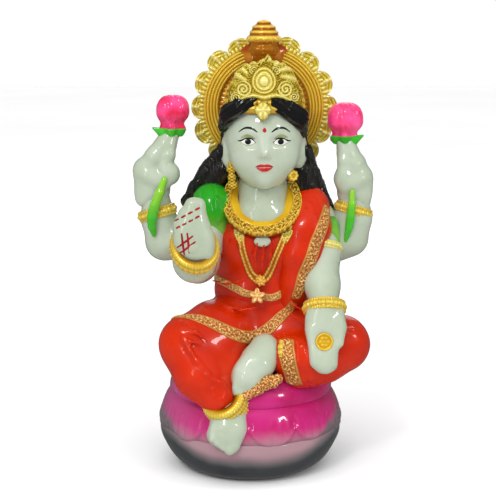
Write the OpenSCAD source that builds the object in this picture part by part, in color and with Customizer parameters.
// Seated four-armed goddess figurine on a lotus seat, hand-painted cast resin.
// Origin: centre of the felt pad's underside. +Z up, the figure faces -Y.
// "right" and "left" are the figure's own sides: its right is at -X.

/* [Base] */
// Radius of the plinth's bottom edge
foot_r = 24; // [22:0.5:26]
// Widest radius of the plinth
plinth_r = 31; // [30:0.5:32]
// Height at which the lotus seat starts
plinth_h = 14; // [13:0.5:15]
// Number of petals round the seat
petal_count = 12; // [10:1:14]
// Height of the top of the lotus seat
seat_h = 35; // [34:0.5:36]

/* [Figure] */
// How far the head sits to the figure's left of the base centre
head_x = 4.5; // [3.5:0.5:5.5]
// Height of the middle of the head
head_z = 110; // [109:0.5:111]
// Radius of the back of the head
skull_r = 12.5; // [12:0.5:13]
// Half of the width between the two shoulder joints
shoulder_w = 15; // [14:0.5:16]

/* [Halo] */
// Outer radius of the halo's ridged ring
ring_r = 20; // [19:0.5:21]
// Outer radius to the tips of the halo's leaves
leaf_r = 24.4; // [23.5:0.1:25]
// Height of the tip of the finial, the figurine's highest point
top_z = 150; // [149:0.5:152]

/* [Hidden] */
$fn = 64;
form_fn = 18;
ring_fn = 28;
pad_t = 1.2;
pad_r = foot_r - 2.5;
pad_proud = 0.4;
petal_t = 1.6;
crease_z = 26;
seat_top_r = 24;
ring_w = 4.5;
leaf_step = 22.5;
leaf_size = 3.6;
halo_t = 3;
halo_y = 8;
halo_z = 121;
crown_y = 0;
bangle_wire = 1.5;

// Joints of the skeleton: points are [x, y, z], the figure's centre line is x = head_x
pelvis = [3, 4, 45];
right_hip = [-3, -2, 45];
left_hip = [10, -2, 45];
right_knee = [-20, -16, 44];
right_ankle = [-10.5, -26, 23];
left_knee = [31, -10, 44.5];
left_ankle = [9, -16.5, 39.5];
right_shoulder = [head_x - shoulder_w, 0, 85];
left_shoulder = [head_x + shoulder_w + 4, 0, 84];
right_elbow = [-17, -17, 70];
right_wrist = [-16.4, -24.3, 73.2];
left_elbow = [25.5, -4, 70];
left_wrist = [23.5, -16, 60];
rear_right_elbow = [-28, 4, 71];
rear_right_wrist = [-32, 2, 83];
rear_left_elbow = [35, 4, 72];
rear_left_wrist = [36, 2, 85];
right_bud = [-26, 2, 119];
left_bud = [32, 2, 116.5];

skin = [0.72, 0.77, 0.70];
orange = [0.85, 0.16, 0.02];
gold = [0.80, 0.60, 0.16];
dark_gold = [0.70, 0.42, 0.12];
magenta = [0.78, 0.14, 0.45];
pink = [0.95, 0.28, 0.55];
green = [0.12, 0.62, 0.12];
black = [0.06, 0.05, 0.06];
grey = [0.26, 0.28, 0.29];
felt = [0.35, 0.05, 0.08];

// ---- helpers ----

module ball(p, r) translate(p) sphere(r = r, $fn = form_fn);

// A limb through points p with radii r, each stretch the hull of two balls
module limb(p, r) for (i = [0 : len(p) - 2]) hull() {
    ball(p[i], r[i]);
    ball(p[i + 1], r[i + 1]);
}

// A ring of round wire about an axis that is tilted by the angles a
module wire_ring(p, a, ring_radius, wire_radius) translate(p) rotate(a)
    rotate_extrude() translate([ring_radius, 0]) circle(r = wire_radius);

// A round outline turned into a plate that faces -Y, from y to y + t
module plate(y, t) translate([0, y + t, 0]) rotate([90, 0, 0]) linear_extrude(t) children();

function mix(a, b, t) = a + (b - a) * t;

// ---- base ----

// The plinth's bulge is one arc: through the bottom edge, widest at the top of the plinth
bulge_cx = (pow(plinth_r, 2) - pow(foot_r, 2) - pow(plinth_h - pad_proud, 2))
    / (2 * (plinth_r - foot_r));

module plinth_profile() intersection() {
    union() {
        translate([bulge_cx, plinth_h]) circle(r = plinth_r - bulge_cx, $fn = 120);
        translate([0, pad_proud]) square([foot_r, plinth_h]);
    }
    translate([0, pad_proud]) square([plinth_r + 1, plinth_h - pad_proud]);
}

module base_pad() color(felt) cylinder(r = pad_r, h = pad_t);

module base_plinth() color(grey) difference() {
    rotate_extrude() plinth_profile();
    translate([0, 0, -1]) cylinder(r = pad_r, h = pad_t + 1);
}

// Outer face of the petals: an arc from the plinth up to the crease
module lotus_profile(inset) intersection() {
    translate([5 - inset, plinth_h]) circle(r = plinth_r - 5.2, $fn = 120);
    translate([0, plinth_h]) square([plinth_r, crease_z - plinth_h]);
}

module lotus_seat() color(magenta) rotate_extrude() seat_profile();

module seat_profile() {
    lotus_profile(petal_t);
    intersection() {
        translate([seat_top_r - 5, seat_h - 9]) circle(r = 9, $fn = 120);
        translate([0, crease_z]) square([plinth_r, seat_h - crease_z]);
    }
    translate([0, crease_z]) square([seat_top_r - 5, seat_h - crease_z]);
}

// One shell of petals that hang from the crease, notched between their tips
module lotus_petals() color(magenta) difference() {
    rotate_extrude() difference() {
        lotus_profile(0);
        lotus_profile(petal_t);
    }
    for (i = [0 : petal_count - 1]) rotate(14 + (i + 0.5) * 360 / petal_count) translate([0, -20, 0])
        rotate([90, 0, 0]) linear_extrude(plinth_r) polygon([[-2.6, plinth_h - 1], [2.6, plinth_h - 1],
            [0.4, plinth_h + 6], [-0.4, plinth_h + 6]]);
}

// ---- sari skirt and legs ----

module lap_form() {
    limb([pelvis, right_hip, mix(right_hip, right_knee, 0.75)], [14, 12, 10.5]);
    limb([pelvis, left_hip, mix(left_hip, left_knee, 0.75)], [14, 12, 9.5]);
}

module right_leg_form() limb([mix(right_hip, right_knee, 0.7), right_knee,
    mix(right_knee, right_ankle, 0.6), right_ankle], [10.3, 9.8, 8.6, 6.5]);

module left_leg_form() limb([mix(left_hip, left_knee, 0.7), left_knee,
    mix(left_knee, left_ankle, 0.5), left_ankle], [9.5, 8.3, 8, 7.2]);

// The seat and plinth as turned shapes
module lotus_shape() rotate_extrude() union() {
    lotus_profile(0);
    seat_profile();
    plinth_profile();
}

module skirt_lap() color(orange) difference() {
    lap_form();
    right_leg_form();
    left_leg_form();
    lotus_shape();
}

module skirt_right_leg() color(orange) difference() {
    right_leg_form();
    right_foot_form();
    lotus_shape();
}

module skirt_left_leg() color(orange) difference() {
    left_leg_form();
    left_foot_form();
    lotus_shape();
}

module right_foot_form() limb([[-8.5, -27.5, 20], [-9, -30.4, 16.2], [-6.5, -32.6, 13.8]], [4.6, 4, 2.2]);

module left_foot_form() limb([[5.5, -18.5, 42], [1.5, -23, 37.5], [-3, -27, 31.5]], [5.4, 4.6, 2]);

module right_foot() color(skin) difference() {
    right_foot_form();
    lotus_shape();
}

module left_foot() color(skin) difference() {
    left_foot_form();
    lotus_shape();
}

// The gold hem round the right ankle: a band square to the shin
module cuff_form() translate([-9.8, -27, 21]) rotate([-26, -22, 0]) cylinder(r = 8, h = 4.6);

module right_hem_cuff() color(gold) difference() {
    cuff_form();
    right_leg_form();
    right_foot_form();
    lotus_shape();
}

module left_hem_border_form() limb([[8.5, -25, 48], [10.5, -26.5, 41], [12.5, -26, 34]], [2.6, 2.8, 2.6]);

module left_hem_border() color(gold) difference() {
    left_hem_border_form();
    left_leg_form();
    left_foot_form();
    left_hand_form();
}

module left_foot_trim() color(gold) difference() {
    limb([[-2.5, -28.5, 28.2], [2.4, -28, 31.6], [7, -26.5, 34.6]], [1.5, 1.8, 2.4]);
    left_foot_form();
    lotus_shape();
    left_hem_border_form();
}

module thigh_swag_border() color(gold) difference() {
    limb([[-19, -13, 54], [-15, -20, 51.5], [-8, -20.5, 47], [-2, -19, 46], [4, -17, 50], [9.5, -14, 56]],
        [1.6, 2.2, 2.6, 2.6, 2.6, 2.2]);
    lap_form();
    right_leg_form();
}

// ---- torso ----

module torso_form() {
    hull() {
        ball([-1, 3, 58], 10);
        ball([8, 3, 58], 10);
        ball([0, -0.5, 75], 10.8);
        ball([9, -0.5, 75], 10.8);
    }
    hull() {
        ball([0, -0.5, 75], 10.8);
        ball([9, -0.5, 75], 10.8);
        ball([-6, 2.5, 85], 7);
        ball([15, 2.5, 85], 7);
    }
}

module neck_form() limb([[head_x, -0.5, 82], [head_x, 0.5, 89], [head_x, 0, 100]], [9.5, 8.4, 7]);

module torso() color(orange) difference() {
    torso_form();
    neck_form();
    lap_form();
    right_sleeve_form();
    left_arm_form();
}

module belt_form(size) hull() {
    translate([-1, 3, 57.2]) cylinder(r = 10 + size, h = 3.4);
    translate([8, 3, 57.2]) cylinder(r = 10 + size, h = 3.4);
}

module waist_belt() color(gold) difference() {
    belt_form(0.9);
    torso_form();
    lap_form();
    drape_form();
}

module belt_buckle() color(gold) plate(-9.6, 1.6) translate([head_x - 0.5, 58.9]) circle(r = 2.9);

module drape_form() limb([[19, 5, 89], [20.5, -2, 88], [19.5, -8, 79], [16.5, -9.5, 68], [14, -7, 60]],
    [4.4, 4.8, 4.4, 3.8, 3]);

module shoulder_drape() color(orange) difference() {
    drape_form();
    torso_form();
    neck_form();
    left_arm_form();
    rear_left_arm_form();
}

module drape_border() color(gold) difference() {
    limb([[23.3, -6, 87.5], [21.4, -11.4, 80], [18, -13, 70], [14.8, -11, 61]], [2, 2.4, 2.3, 2]);
    drape_form();
    torso_form();
    left_arm_form();
}

module neck() color(skin) difference() {
    neck_form();
    head_form();
}

module collar_necklace() color(gold) difference() {
    wire_ring([head_x - 0.3, -4.6, 86.6], [52, 0, 0], 11, 2.3, $fn = ring_fn);
    neck_form();
    torso_form();
    drape_form();
    right_sleeve_form();
    hair_form();
}

module long_necklace() color(gold) difference() {
    limb([[-4, -11, 79.5], [-3, -12, 72], [-1.5, -12.2, 65], [3.5, -12, 62], [8.5, -12.2, 65], [10.5, -12, 72],
        [12, -11, 79.5]], [1, 1, 1.1, 1.3, 1.1, 1, 1]);
    torso_form();
    drape_form();
    wire_ring([head_x - 0.3, -4.6, 86.6], [52, 0, 0], 11, 2.3, $fn = ring_fn);
}

// ---- head ----

module head_form() {
    hull() {
        ball([head_x, 0, head_z + 3], skull_r);
        ball([head_x - 4.6, -4, head_z - 4], 8);
        ball([head_x + 4.6, -4, head_z - 4], 8);
        ball([head_x, -6, head_z - 8.5], 6);
    }
    nose_form();
}

module nose_form() limb([[head_x, -11.5, head_z + 2], [head_x, -12.6, head_z - 2.6]], [1, 1.5]);

module head() color(skin) difference() {
    head_form();
    crown_room();
    halo_room();
}

// The crown sits over everything above this height
crown_z = head_z + 10;

module crown_room() translate([head_x - 20, -20, crown_z]) cube([40, 40, 20]);

module hair_front() color(black) difference() {
    limb([[head_x - 13.6, -3, 112], [head_x - 12, -6, 117.5], [head_x - 5, -10, 121.5], [head_x + 5, -10, 121.5],
        [head_x + 12, -6, 117.5], [head_x + 13.6, -3, 112]], [2.2, 3, 2.6, 2.6, 3, 2.2]);
    head_form();
    crown_room();
}

module hair_form() {
    hull() {
        ball([head_x, 2, 111], 13.4);
        ball([head_x, 6, 97], 10);
    }
    hull() {
        ball([head_x, 7, 97], 9);
        ball([head_x, 8, 84], 6);
    }
    limb([[head_x - 7, 3, 106], [head_x - 14, 5, 97], [head_x - 19, 6, 88]], [7, 6, 4]);
    limb([[head_x + 7, 3, 106], [head_x + 15, 5, 97], [head_x + 22, 6, 86], [head_x + 27, 6, 80]], [7, 6.4, 5, 3]);
    hull() {
        ball([head_x - 12, 8, 92], 5);
        ball([head_x + 14, 8, 92], 5);
        ball([head_x - 5, 9, 80], 4);
        ball([head_x + 7, 9, 79], 4);
    }
}

module hair_back() color(black) difference() {
    hair_form();
    head_form();
    neck_form();
    torso_form();
    halo_room();
    crown_room();
    rear_right_arm_form();
    rear_left_arm_form();
    right_sleeve_form();
    drape_form();
    left_arm_form();
}

// Everything from the halo's front face backwards, as high as the halo
module halo_room() translate([head_x - leaf_r, halo_y - 0.8, halo_z - 18])
    cube([2 * leaf_r, 30, 2 * leaf_r]);

module crown() color(dark_gold) translate([head_x, crown_y, 0]) intersection() {
    rotate_extrude() polygon([[0, crown_z], [12.6, crown_z], [12.2, crown_z + 4], [9.5, crown_z + 11],
        [6, crown_z + 16], [5, crown_z + 17], [0, crown_z + 17]]);
    translate([-20, -20, 0]) cube([40, 20 + halo_y - 0.8, top_z]);
}

// Crest of the crown: a fan of round leaves over a curved lower edge
module crown_front_outline() {
    difference() {
        circle(r = 12.5);
        translate([-20, -20]) square([40, 18]);
    }
    for (a = [25 : 26 : 155]) rotate(a) translate([12, 0]) circle(r = 2.6);
}

module crown_front() color(gold) difference() {
    intersection() {
        translate([head_x, 0, 124]) plate(-16, 14) crown_front_outline();
        translate([head_x, crown_y, crown_z]) cylinder(r = 14.4, h = 30);
    }
    translate([head_x, crown_y, crown_z - 1]) cylinder(r = 12.6, h = 30);
}

module crown_gem() color(gold) difference() {
    translate([head_x, 0, 130]) plate(-15.6, 2) circle(r = 2.6);
    translate([head_x, crown_y, crown_z]) cylinder(r = 14.4, h = 30);
}

module forehead_pendant() color(gold) difference() {
    translate([head_x - 1, 0, 120.8]) plate(-16, 3) circle(r = 2.4);
    translate([head_x, crown_y, crown_z]) cylinder(r = 14.4, h = 30);
    head_form();
}

module earring(x) difference() {
    limb([[x, -6, 102.5], [x, -6.5, 97.5]], [2, 2.4]);
    head_form();
    neck_form();
}

module right_earring() color(gold) earring(head_x - 10.6);

module left_earring() color(gold) earring(head_x + 10);

// ---- halo ----

module halo_outline(r) difference() {
    circle(r = r);
    translate([-r, -r - 17]) square([2 * r, r]);
}

module halo_plate() color(dark_gold) translate([head_x, 0, halo_z]) plate(halo_y, halo_t)
    halo_outline(ring_r - ring_w);

module halo_ring() color(gold) translate([head_x, 0, halo_z]) plate(halo_y - 0.8, halo_t + 0.8) difference() {
    halo_outline(ring_r);
    circle(r = ring_r - ring_w);
}

module halo_leaves() color(gold) translate([head_x, 0, halo_z]) plate(halo_y, halo_t) difference() {
    for (i = [-2 : 10]) rotate(i * leaf_step) translate([leaf_r - leaf_size, 0]) circle(r = leaf_size);
    circle(r = ring_r);
}

module halo_finial() color(dark_gold) difference() {
    translate([head_x, halo_y - 2, 0]) rotate_extrude() polygon([[0, crown_z + 17], [5.2, crown_z + 17],
        [6.6, crown_z + 20], [6, crown_z + 22.5], [4.6, crown_z + 24.5], [2.6, top_z - 2], [1.2, top_z], [0, top_z]]);
    translate([head_x, 0, halo_z]) plate(halo_y - 0.8, 20) circle(r = leaf_r);
}

// ---- arms ----

module right_sleeve_form() limb([right_shoulder + [3, 0, 2], right_shoulder, mix(right_shoulder, right_elbow, 0.5)],
    [5.6, 5.8, 5.4]);

module right_sleeve() color(green) difference() {
    right_sleeve_form();
    neck_form();
    head_form();
}

module right_arm_form() limb([[-13.6, -8.4, 77.6], right_elbow, right_wrist], [5.3, 6.1, 5.5]);

module front_right_arm() color(skin) difference() {
    right_arm_form();
    right_sleeve_form();
    right_hand_form();
    torso_form();
}

module right_hand_form() hull() {
    ball([-19.6, -27, 80.5], 4);
    ball([-13, -27, 80.5], 4);
    ball([-17.8, -26.5, 90.6], 3.2);
    ball([-14, -26.5, 91], 3.2);
}

module front_right_hand() color(skin) right_hand_form();

module front_right_bangle() color(gold) difference() {
    wire_ring([-16.3, -25.5, 75.6], [20, 0, 0], 6.6, bangle_wire);
    right_arm_form();
    right_hand_form();
}

module left_arm_form() limb([left_shoulder, left_elbow, left_wrist], [5.4, 5.8, 5]);

module left_sleeve() color(green) difference() {
    limb([left_shoulder + [1, 0, 3], mix(left_shoulder, left_elbow, 0.6)], [5.4, 6.8]);
    left_arm_form();
    drape_form();
    torso_form();
    rear_left_arm_form();
}

module front_left_arm() color(skin) difference() {
    left_arm_form();
    left_hand_form();
}

module left_hand_form() hull() {
    ball([21, -20.5, 54], 3.6);
    ball([26, -20.5, 54], 3.6);
    ball([21.5, -23.5, 41.5], 3.4);
    ball([25, -23.5, 41.5], 3.4);
}

module front_left_hand() color(skin) difference() {
    left_hand_form();
    left_leg_form();
    lap_form();
}

module front_left_bangle() color(gold) difference() {
    wire_ring([23.6, -16.6, 59.2], [-28, 0, 0], 5.6, bangle_wire);
    left_arm_form();
    left_hand_form();
}

module palm_coin() color(gold) translate([23.5, 0, 48]) plate(-27, 1.6) circle(r = 2.6);

module rear_right_arm_form() limb([right_shoulder + [4, 6, -2], rear_right_elbow, rear_right_wrist], [5, 5.6, 4.6]);

module rear_left_arm_form() limb([left_shoulder + [-2, 7, -2], rear_left_elbow, rear_left_wrist], [5, 5.6, 4.6]);

module rear_right_hand_form() limb([rear_right_wrist + [0.2, 0, 4], [-31, 1.5, 95], [-27.6, 2, 107]], [4.8, 6, 3.2]);

module rear_left_hand_form() limb([rear_left_wrist + [-0.4, 0, 4], [34.4, 1.5, 96], [33, 2, 105.5]], [4.8, 6, 3.2]);

module rear_right_arm() color(skin) difference() {
    rear_right_arm_form();
    rear_right_hand_form();
    right_sleeve_form();
    right_arm_form();
    torso_form();
}

module rear_left_arm() color(skin) difference() {
    rear_left_arm_form();
    rear_left_hand_form();
    left_arm_form();
    torso_form();
}

module rear_right_hand() color(skin) difference() {
    rear_right_hand_form();
    calyx_form(right_bud);
}

module rear_left_hand() color(skin) difference() {
    rear_left_hand_form();
    calyx_form(left_bud);
}

module rear_bangle(wrist) wire_ring(wrist + [0, 0, 0.6], [0, 0, 0], 4.9, bangle_wire);

module rear_right_bangle() color(gold) difference() {
    rear_bangle(rear_right_wrist);
    rear_right_arm_form();
    rear_right_hand_form();
}

module rear_left_bangle() color(gold) difference() {
    rear_bangle(rear_left_wrist);
    rear_left_arm_form();
    rear_left_hand_form();
}

// A closed lotus flower: a round bud on a shallow green cup
module bud_form(p) translate(p) {
    sphere(r = 6.2);
    translate([0, 0, -7]) cylinder(r1 = 4.4, r2 = 5.4, h = 5);
}

module calyx_form(p) translate(p + [0, 0, -9.6]) cylinder(r1 = 2.6, r2 = 5.2, h = 2.6);

module lotus_bud(p) color(pink) difference() {
    bud_form(p);
    halo_leaf_room();
}

module halo_leaf_room() translate([head_x, 0, halo_z]) plate(halo_y, halo_t) circle(r = leaf_r);

module right_lotus_bud() lotus_bud(right_bud);

module left_lotus_bud() lotus_bud(left_bud);

module right_lotus_calyx() color(green) difference() {
    calyx_form(right_bud);
    halo_leaf_room();
}

module left_lotus_calyx() color(green) difference() {
    calyx_form(left_bud);
    halo_leaf_room();
}

module right_lotus_stem() color(green) difference() {
    limb([[-27.6, -3.5, 88.5], [-29.5, -4, 82], [-30.5, -3, 76.5]], [1.2, 1.3, 1]);
    rear_right_arm_form();
    rear_right_hand_form();
    rear_bangle(rear_right_wrist);
}

module left_lotus_stem() color(green) difference() {
    limb([[34.6, -3.5, 92], [34.4, -4, 85], [33, -2.8, 77]], [1.2, 1.3, 1]);
    rear_left_arm_form();
    rear_left_hand_form();
    rear_bangle(rear_left_wrist);
}

// ---- nodes ----

base_pad();
base_plinth();
lotus_seat();
lotus_petals();
skirt_lap();
skirt_right_leg();
skirt_left_leg();
right_foot();
left_foot();
right_hem_cuff();
left_hem_border();
left_foot_trim();
thigh_swag_border();
torso();
waist_belt();
belt_buckle();
shoulder_drape();
drape_border();
right_sleeve();
left_sleeve();
neck();
collar_necklace();
long_necklace();
head();
hair_front();
hair_back();
crown();
crown_front();
crown_gem();
forehead_pendant();
right_earring();
left_earring();
halo_plate();
halo_ring();
halo_leaves();
halo_finial();
front_right_arm();
front_right_hand();
front_right_bangle();
front_left_arm();
front_left_hand();
front_left_bangle();
palm_coin();
rear_right_arm();
rear_right_hand();
rear_right_bangle();
right_lotus_bud();
right_lotus_calyx();
right_lotus_stem();
rear_left_arm();
rear_left_hand();
rear_left_bangle();
left_lotus_bud();
left_lotus_calyx();
left_lotus_stem();
